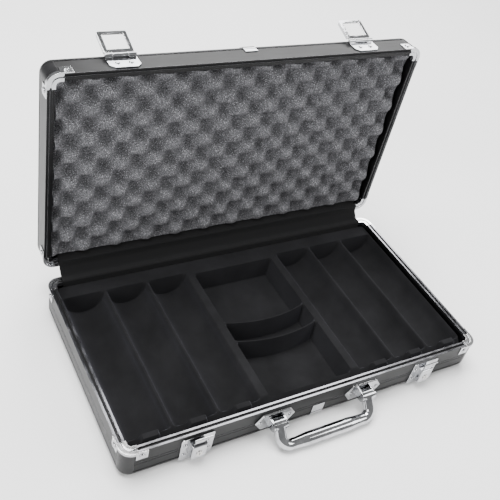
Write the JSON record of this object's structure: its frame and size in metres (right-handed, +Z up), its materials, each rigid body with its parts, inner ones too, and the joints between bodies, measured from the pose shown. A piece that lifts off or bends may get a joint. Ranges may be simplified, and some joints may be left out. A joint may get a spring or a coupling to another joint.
{
  "type": "poker chip case",
  "caption": "Shallow framed case for poker chips, with a formed flocked tray, a foam-padded lid that stands open, two lockable hasps, corner brackets and a swinging bail handle.",
  "frame": {"origin": "middle of the underside of the base", "axes": "+X along the long side, to the right seen from the front; -Y towards the front with the handle; +Z up"},
  "size_m": [0.391, 0.2924, 0.2657],
  "materials": {
    "tray_flock": "black flocking on a formed tray",
    "foam": "charcoal egg-crate foam, speckled",
    "lining_fabric": "black lining cloth",
    "black_panel": "black grained laminate",
    "black_frame": "black anodised extrusion, satin",
    "corner_plastic": "smooth black",
    "spring_steel": "plain wire",
    "bright_chrome": "bright plate on pressed steel"
  },
  "bodies": {
    "base": {"base_bracket_front_left": "bright_chrome", "base_bracket_front_right": "bright_chrome", "base_bracket_rear_left": "bright_chrome", "base_bracket_rear_right": "bright_chrome", "base_bracket_rivets": "bright_chrome", "base_corner_castings": "corner_plastic", "base_front_rail": "black_frame", "base_left_rail": "black_frame", "base_panel": "black_panel", "base_rear_rail": "black_frame", "base_right_rail": "black_frame", "base_seam_clip": "bright_chrome", "chip_tray": "tray_flock", "hinge_lining": "lining_fabric", "hinge_base_leaf_left": "bright_chrome", "hinge_base_leaf_right": "bright_chrome", "hinge_pin_left": "bright_chrome", "hinge_pin_right": "bright_chrome", "hinge_base_rivets": "bright_chrome", "latch_body_left": "bright_chrome", "latch_body_right": "bright_chrome", "latch_rivets": "bright_chrome", "latch_spring_left": "spring_steel", "latch_spring_right": "spring_steel", "handle_mount_left": "bright_chrome", "handle_mount_right": "bright_chrome", "handle_pin_left": "bright_chrome", "handle_pin_right": "bright_chrome", "handle_mount_rivets": "bright_chrome"},
    "lid": {"lid_bracket_front_left": "bright_chrome", "lid_bracket_front_right": "bright_chrome", "lid_bracket_rear_left": "bright_chrome", "lid_bracket_rear_right": "bright_chrome", "lid_bracket_rivets": "bright_chrome", "lid_corner_castings": "corner_plastic", "lid_foam": "foam", "lid_front_rail": "black_frame", "lid_left_rail": "black_frame", "lid_panel": "black_panel", "lid_rear_rail": "black_frame", "lid_right_rail": "black_frame", "lid_seam_clip": "bright_chrome", "hinge_lid_leaf_left": "bright_chrome", "hinge_lid_leaf_right": "bright_chrome", "hinge_lid_rivets": "bright_chrome", "hasp_plate_left": "bright_chrome", "hasp_plate_right": "bright_chrome", "hasp_pin_left": "bright_chrome", "hasp_pin_right": "bright_chrome", "hasp_rivets": "bright_chrome"},
    "handle": {"handle_bail": "bright_chrome"},
    "hasp_left": {"hasp_loop_left": "bright_chrome"},
    "catch_left": {"latch_slide_left": "bright_chrome"},
    "lock_left": {"lock_cylinder_left": "bright_chrome"},
    "hasp_right": {"hasp_loop_right": "bright_chrome"},
    "catch_right": {"latch_slide_right": "bright_chrome"},
    "lock_right": {"lock_cylinder_right": "bright_chrome"}
  },
  "joints": [
    {"name": "lid_hinge", "type": "hinge", "parent": "base", "child": "lid", "pos_m": [0, 0.113, 0.036], "axis": [1, 0, 0], "range_deg": [0, 90], "deforming": ["hinge_lining"]},
    {"name": "hasp_left_hinge", "type": "hinge", "parent": "lid", "child": "hasp_left", "pos_m": [-0.126, 0.1323, 0.2568], "axis": [1, 0, 0], "range_deg": [0, 162]},
    {"name": "catch_left_press", "type": "slide", "parent": "base", "child": "catch_left", "axis": [0, 0, -1], "range_m": [0, 0.0045], "stiffness_N_per_m": 200, "springref_m": -0.002, "deforming": ["latch_spring_left"]},
    {"name": "lock_left_turn", "type": "hinge", "parent": "base", "child": "lock_left", "pos_m": [-0.126, -0.108, 0.016], "axis": [0, -1, 0], "range_deg": [0, 90]},
    {"name": "hasp_right_hinge", "type": "hinge", "parent": "lid", "child": "hasp_right", "pos_m": [0.126, 0.1323, 0.2568], "axis": [1, 0, 0], "range_deg": [0, 162]},
    {"name": "catch_right_press", "type": "slide", "parent": "base", "child": "catch_right", "axis": [0, 0, -1], "range_m": [0, 0.0045], "stiffness_N_per_m": 200, "springref_m": -0.002, "deforming": ["latch_spring_right"]},
    {"name": "lock_right_turn", "type": "hinge", "parent": "base", "child": "lock_right", "pos_m": [0.126, -0.108, 0.016], "axis": [0, -1, 0], "range_deg": [0, 90]},
    {"name": "handle_swing", "type": "hinge", "parent": "base", "child": "handle", "pos_m": [0, -0.1135, 0.022], "axis": [-1, 0, 0], "range_deg": [0, 137]}
  ]
}
